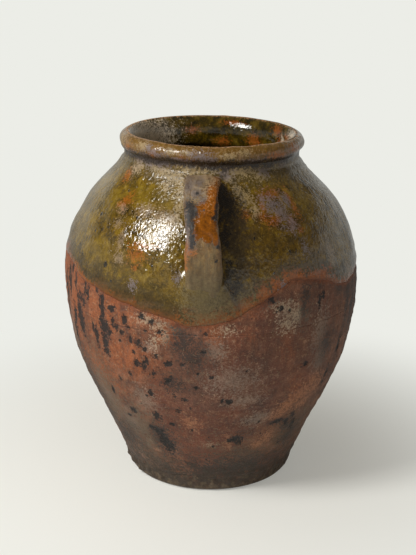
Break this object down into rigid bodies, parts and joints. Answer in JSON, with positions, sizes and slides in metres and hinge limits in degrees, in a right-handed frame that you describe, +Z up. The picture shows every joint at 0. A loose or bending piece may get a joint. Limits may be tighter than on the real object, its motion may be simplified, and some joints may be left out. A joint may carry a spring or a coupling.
{
  "type": "olive jar",
  "caption": "Wheel-thrown earthenware storage jar with a glazed shoulder, a rolled rim and two strap handles.",
  "frame": {"origin": "middle of the flat base, on the surface that the jar stands on", "axes": "+Z up along the turning axis; the two handles stand on -Y (front) and +Y (rear); +X across"},
  "size_m": [0.29, 0.3064, 0.344],
  "materials": {
    "bare_clay": "matte, unglazed earthenware",
    "glazed_handles": "glossy, worn",
    "lead_glaze": "glossy",
    "lead_glaze_inside": "glossy"
  },
  "bodies": {
    "root": {"lower_body": "bare_clay", "upper_body": "bare_clay", "front_handle": "glazed_handles", "rear_handle": "glazed_handles", "outer_glaze": "lead_glaze", "inner_glaze": "lead_glaze_inside"}
  },
  "joints": []
}
